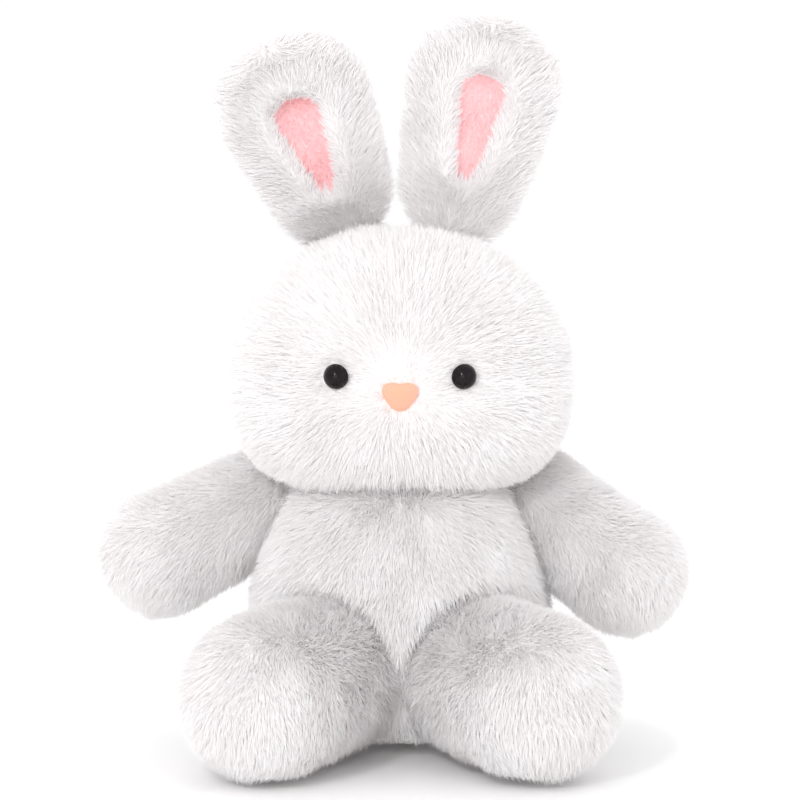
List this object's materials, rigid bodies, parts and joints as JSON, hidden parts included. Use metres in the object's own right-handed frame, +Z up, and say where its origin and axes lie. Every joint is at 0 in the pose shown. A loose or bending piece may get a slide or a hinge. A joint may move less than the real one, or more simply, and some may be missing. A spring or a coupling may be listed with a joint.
{
  "type": "stuffed bunny rabbit",
  "caption": "Sitting plush bunny in long white fur fabric, with pink-lined upright ears, glossy dark eyes, a flocked triangular nose, open arms, splayed legs and a pompom tail.",
  "frame": {"origin": "on the floor, at the middle of the flat seat", "axes": "+Z up, -Y the way the face and feet point, +X the toy's own left"},
  "size_m": [0.2819, 0.2508, 0.3498],
  "materials": {
    "fur_white": "long-pile faux fur, satin sheen",
    "ear_lining_pink": "short-pile plush, matte",
    "polyester_stuffing": "loose fibre, matte",
    "pouch_cotton": "plain woven cotton, matte",
    "pellets": "small satin beads in a pouch",
    "label_ribbon": "blank satin ribbon",
    "thread": "twisted polyester thread",
    "eye_gloss": "gloss",
    "nose_flock": "short flock, matte",
    "washer_plastic": "milky, satin"
  },
  "bodies": {
    "torso": {"torso_front_left": "fur_white", "torso_front_right": "fur_white", "torso_back_left": "fur_white", "torso_back_right": "fur_white", "torso_base": "fur_white", "torso_stuffing": "polyester_stuffing", "pellet_pouch": "pouch_cotton", "pellets": "pellets", "care_label": "label_ribbon"},
    "neck": {"neck_stuffing": "polyester_stuffing"},
    "head": {"head_front_left": "fur_white", "head_front_right": "fur_white", "head_back_left": "fur_white", "head_back_right": "fur_white", "head_stuffing": "polyester_stuffing", "left_eye": "eye_gloss", "right_eye": "eye_gloss", "left_eye_washer": "washer_plastic", "right_eye_washer": "washer_plastic", "nose": "nose_flock", "nose_washer": "washer_plastic"},
    "left_ear": {"left_ear_back": "fur_white", "left_ear_front": "fur_white", "left_ear_lining": "ear_lining_pink", "left_ear_stuffing": "polyester_stuffing"},
    "right_ear": {"right_ear_back": "fur_white", "right_ear_front": "fur_white", "right_ear_lining": "ear_lining_pink", "right_ear_stuffing": "polyester_stuffing"},
    "left_shoulder": {"left_shoulder_stitch": "thread"},
    "left_arm": {"left_arm_front": "fur_white", "left_arm_back": "fur_white", "left_arm_stuffing": "polyester_stuffing"},
    "right_shoulder": {"right_shoulder_stitch": "thread"},
    "right_arm": {"right_arm_front": "fur_white", "right_arm_back": "fur_white", "right_arm_stuffing": "polyester_stuffing"},
    "left_hip": {"left_hip_stitch": "thread"},
    "left_leg": {"left_leg_inner": "fur_white", "left_leg_outer": "fur_white", "left_leg_stuffing": "polyester_stuffing"},
    "right_hip": {"right_hip_stitch": "thread"},
    "right_leg": {"right_leg_inner": "fur_white", "right_leg_outer": "fur_white", "right_leg_stuffing": "polyester_stuffing"},
    "tail": {"tail_cover": "fur_white", "tail_stuffing": "polyester_stuffing"}
  },
  "joints": [
    {"name": "neck_turn", "type": "hinge", "parent": "torso", "child": "neck", "pos_m": [0, 0, 0.143], "axis": [0, 0, 1], "range_deg": [-18, 18], "stiffness_Nm_per_rad": 1.2},
    {"name": "head_nod", "type": "hinge", "parent": "neck", "child": "head", "pos_m": [0, 0, 0.143], "axis": [1, 0, 0], "range_deg": [-8, 8], "stiffness_Nm_per_rad": 3},
    {"name": "left_ear_fold", "type": "hinge", "parent": "head", "child": "left_ear", "pos_m": [0.0257, 0.00062, 0.24833], "axis": [0.9781, 0, -0.2079], "range_deg": [-20, 30], "stiffness_Nm_per_rad": 0.25},
    {"name": "right_ear_fold", "type": "hinge", "parent": "head", "child": "right_ear", "pos_m": [-0.0257, 0.00062, 0.24833], "axis": [0.9205, 0, 0.3907], "range_deg": [-36, 10], "stiffness_Nm_per_rad": 0.25},
    {"name": "left_shoulder_raise", "type": "hinge", "parent": "torso", "child": "left_shoulder", "pos_m": [0.05996, 0.01, 0.1128], "axis": [0, -1, 0], "range_deg": [-7, 15], "stiffness_Nm_per_rad": 0.6},
    {"name": "left_arm_swing", "type": "hinge", "parent": "left_shoulder", "child": "left_arm", "pos_m": [0.05996, 0.01, 0.1128], "axis": [0, 0, -1], "range_deg": [-14, 12], "stiffness_Nm_per_rad": 0.6},
    {"name": "right_shoulder_raise", "type": "hinge", "parent": "torso", "child": "right_shoulder", "pos_m": [-0.05996, 0.01, 0.1128], "axis": [0, 1, 0], "range_deg": [-7, 15], "stiffness_Nm_per_rad": 0.6},
    {"name": "right_arm_swing", "type": "hinge", "parent": "right_shoulder", "child": "right_arm", "pos_m": [-0.05996, 0.01, 0.1128], "axis": [0, 0, 1], "range_deg": [-14, 12], "stiffness_Nm_per_rad": 0.6},
    {"name": "left_hip_lift", "type": "hinge", "parent": "torso", "child": "left_hip", "pos_m": [0.03765, -0.04828, 0.041], "axis": [-1, 0, 0], "range_deg": [0, 18], "stiffness_Nm_per_rad": 1},
    {"name": "left_leg_splay", "type": "hinge", "parent": "left_hip", "child": "left_leg", "pos_m": [0.03765, -0.04828, 0.041], "axis": [0, 0, 1], "range_deg": [-12, 12], "stiffness_Nm_per_rad": 1},
    {"name": "right_hip_lift", "type": "hinge", "parent": "torso", "child": "right_hip", "pos_m": [-0.03765, -0.04828, 0.041], "axis": [-1, 0, 0], "range_deg": [0, 18], "stiffness_Nm_per_rad": 1},
    {"name": "right_leg_splay", "type": "hinge", "parent": "right_hip", "child": "right_leg", "pos_m": [-0.03765, -0.04828, 0.041], "axis": [0, 0, -1], "range_deg": [-12, 12], "stiffness_Nm_per_rad": 1},
    {"name": "tail_wag", "type": "hinge", "parent": "torso", "child": "tail", "pos_m": [0, 0.06951, 0.034], "axis": [0, 0, 1], "range_deg": [-12, 12], "stiffness_Nm_per_rad": 0.1}
  ]
}
